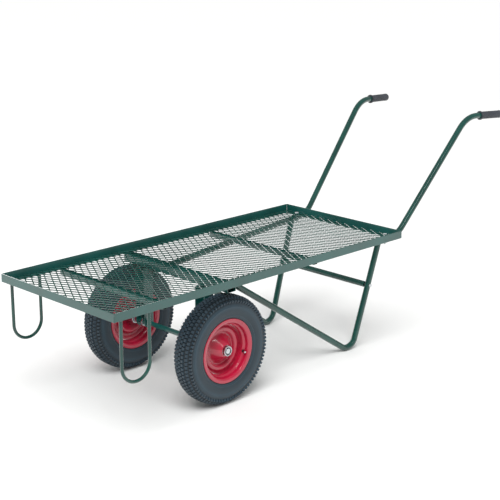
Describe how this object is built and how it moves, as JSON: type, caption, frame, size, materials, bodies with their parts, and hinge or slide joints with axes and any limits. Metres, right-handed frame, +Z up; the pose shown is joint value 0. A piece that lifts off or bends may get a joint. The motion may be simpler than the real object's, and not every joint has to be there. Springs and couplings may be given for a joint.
{
  "type": "platform trolley",
  "caption": "Two-wheeled platform trolley: expanded-metal deck in an angle frame, pneumatic wheels under it, bent-tube legs, front loops and rubber-gripped lifting handles.",
  "frame": {"origin": "middle of the bounding box's base, on the ground", "axes": "+X from the deck towards the handles, +Y to the right of whoever holds them walking towards -X, +Z up"},
  "size_m": [2.0888, 0.6432, 0.8787],
  "materials": {
    "green_paint": "dark green gloss paint over rolled and drawn steel",
    "red_paint": "crimson gloss paint on pressed steel",
    "tyre_rubber": "moulded block tread and smooth side walls",
    "tube_rubber": "smooth butyl rubber",
    "grip_rubber": "matt ribbed rubber",
    "zinc": "bright zinc plate",
    "bearing_steel": "dark sealed bearing and phosphated spring steel"
  },
  "bodies": {
    "chassis": {"axle": "green_paint", "axle_circlip_left": "bearing_steel", "axle_circlip_right": "bearing_steel", "axle_collar_left": "zinc", "axle_collar_right": "zinc", "axle_hanger_left": "green_paint", "axle_hanger_right": "green_paint", "axle_spacer_left": "zinc", "axle_spacer_right": "zinc", "cross_member_axle": "green_paint", "cross_member_front": "green_paint", "cross_member_rear": "green_paint", "crossbar_bolt_left": "zinc", "crossbar_bolt_right": "zinc", "crossbar_plug_left": "zinc", "crossbar_plug_right": "zinc", "deck_mesh": "green_paint", "front_loop_left": "green_paint", "front_loop_right": "green_paint", "handle_bolt_left": "zinc", "handle_bolt_right": "zinc", "handle_grip_left": "grip_rubber", "handle_grip_right": "grip_rubber", "handle_nut_left": "zinc", "handle_nut_right": "zinc", "handle_tube_left": "green_paint", "handle_tube_right": "green_paint", "leg_crossbar": "green_paint", "leg_frame_left": "green_paint", "leg_frame_right": "green_paint", "rail_front": "green_paint", "rail_left": "green_paint", "rail_rear": "green_paint", "rail_right": "green_paint"},
    "left_wheel": {"bearing_left_inner": "bearing_steel", "bearing_left_outer": "bearing_steel", "hub_left": "zinc", "inner_tube_left": "tube_rubber", "rim_left": "red_paint", "tyre_left": "tyre_rubber", "valve_cap_left": "zinc", "valve_stem_left": "tube_rubber", "wheel_disc_left": "red_paint"},
    "right_wheel": {"bearing_right_inner": "bearing_steel", "bearing_right_outer": "bearing_steel", "hub_right": "zinc", "inner_tube_right": "tube_rubber", "rim_right": "red_paint", "tyre_right": "tyre_rubber", "valve_cap_right": "zinc", "valve_stem_right": "tube_rubber", "wheel_disc_right": "red_paint"}
  },
  "joints": [
    {"name": "left_wheel_spin", "type": "hinge", "parent": "chassis", "child": "left_wheel", "pos_m": [-0.51944, -0.252, 0.2], "axis": [0, 1, 0], "continuous": true},
    {"name": "right_wheel_spin", "type": "hinge", "parent": "chassis", "child": "right_wheel", "pos_m": [-0.51944, 0.252, 0.2], "axis": [0, 1, 0], "continuous": true}
  ]
}
